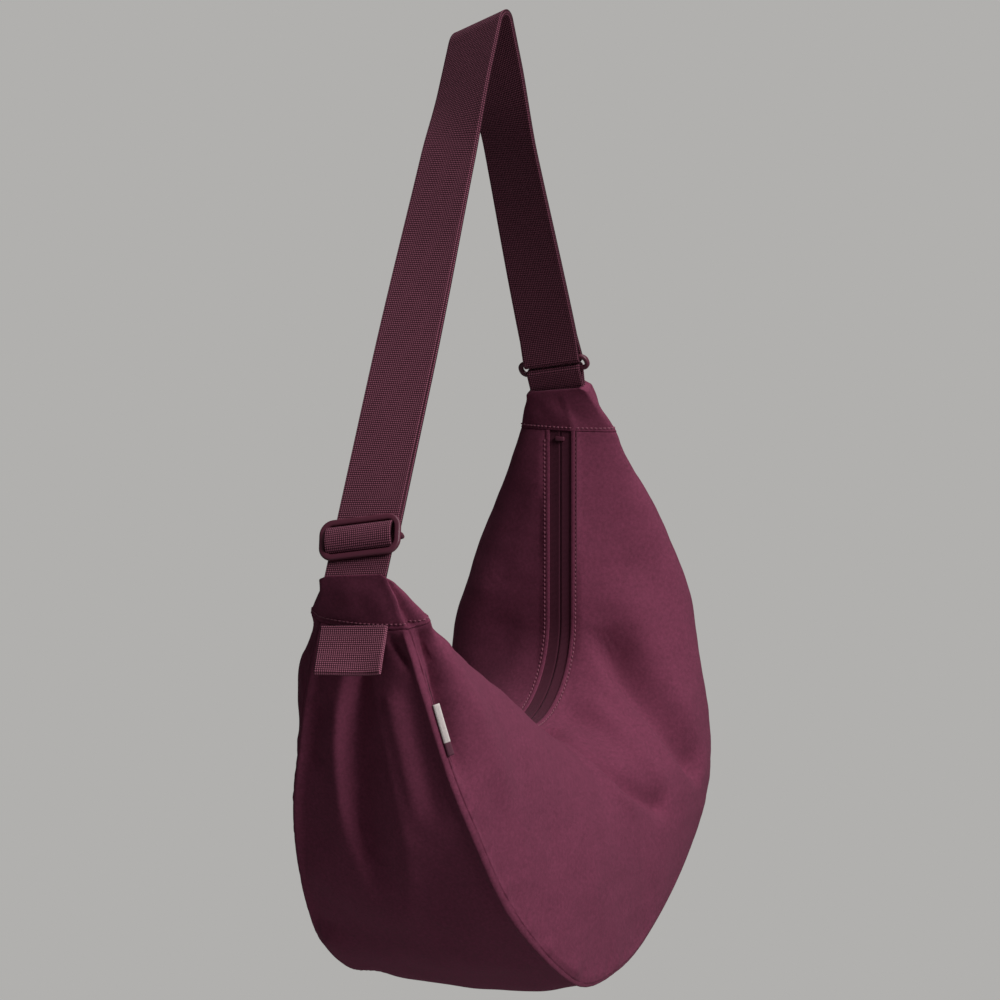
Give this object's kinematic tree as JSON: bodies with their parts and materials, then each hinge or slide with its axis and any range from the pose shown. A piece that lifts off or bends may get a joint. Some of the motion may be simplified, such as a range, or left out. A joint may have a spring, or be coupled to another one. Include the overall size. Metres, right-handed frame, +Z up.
{
  "type": "shoulder bag",
  "caption": "Half moon shoulder bag of soft cloth, hanging by a doubled webbing strap with an adjuster and a ring, with a closed zip along its curved mouth.",
  "frame": {"origin": "inner face of the strap crest, where the hook touches it", "axes": "+Z up, +X from the near tip to the far tip, the front panel faces -Y"},
  "size_m": [0.3767, 0.1774, 0.6011],
  "materials": {
    "front_panel_look": "matte fine plain weave",
    "back_panel_look": "matte fine plain weave",
    "gusset_panel_look": "matte fine plain weave",
    "front_piping_look": "matte fine plain weave",
    "back_piping_look": "matte fine plain weave",
    "near_end_cap_look": "matte fine plain weave",
    "far_end_cap_look": "matte fine plain weave",
    "front_lining_look": "matte thin lining",
    "back_lining_look": "matte thin lining",
    "gusset_lining_look": "matte thin lining",
    "inner_pocket_look": "matte thin lining",
    "front_zip_tape_look": "matte ribbed webbing",
    "back_zip_tape_look": "matte ribbed webbing",
    "front_zip_coil_look": "satin",
    "back_zip_coil_look": "satin",
    "front_zip_welt_look": "matte fine plain weave",
    "back_zip_welt_look": "matte fine plain weave",
    "near_zip_stop_look": "satin",
    "far_zip_stop_look": "satin",
    "zip_slider_look": "satin",
    "zip_pull_look": "satin",
    "strap_webbing_look": "matte ribbed webbing",
    "far_tab_look": "matte ribbed webbing",
    "strap_adjuster_look": "satin",
    "far_ring_look": "satin",
    "strap_fold_look": "matte ribbed webbing",
    "strap_end_look": "matte ribbed webbing",
    "end_loop_look": "matte ribbed webbing",
    "seam_label_look": "matte woven"
  },
  "bodies": {
    "bag": {"front_panel": "front_panel_look", "back_panel": "back_panel_look", "gusset_panel": "gusset_panel_look", "front_piping": "front_piping_look", "back_piping": "back_piping_look", "near_end_cap": "near_end_cap_look", "far_end_cap": "far_end_cap_look", "front_lining": "front_lining_look", "back_lining": "back_lining_look", "gusset_lining": "gusset_lining_look", "inner_pocket": "inner_pocket_look", "front_zip_tape": "front_zip_tape_look", "back_zip_tape": "back_zip_tape_look", "front_zip_coil": "front_zip_coil_look", "back_zip_coil": "back_zip_coil_look", "front_zip_welt": "front_zip_welt_look", "back_zip_welt": "back_zip_welt_look", "near_zip_stop": "near_zip_stop_look", "far_zip_stop": "far_zip_stop_look", "strap_webbing": "strap_webbing_look", "far_tab": "far_tab_look", "far_ring": "far_ring_look", "seam_label": "seam_label_look"},
    "strap_adjuster": {"strap_adjuster": "strap_adjuster_look", "strap_fold": "strap_fold_look", "strap_end": "strap_end_look"},
    "zip_slider": {"zip_slider": "zip_slider_look"},
    "zip_pull": {"zip_pull": "zip_pull_look"},
    "end_loop": {"end_loop": "end_loop_look"}
  },
  "joints": [
    {"name": "strap_adjuster_slide", "type": "slide", "parent": "bag", "child": "strap_adjuster", "axis": [0.4354, 0, 0.9003], "range_m": [0, 0.1]},
    {"name": "zip_slider_slide", "type": "slide", "parent": "bag", "child": "zip_slider", "axis": [0.8406, 0, -0.5417], "range_m": [0, 0.15]},
    {"name": "zip_pull_hinge", "type": "hinge", "parent": "zip_slider", "child": "zip_pull", "pos_m": [-0.10159, 0, -0.33779], "axis": [0, -1, 0], "range_deg": [0, 150]},
    {"name": "end_loop_hinge", "type": "hinge", "parent": "bag", "child": "end_loop", "pos_m": [-0.1572, 0.002, -0.34452], "axis": [-0.0354, 0.9962, -0.0796], "range_deg": [0, 110]}
  ]
}
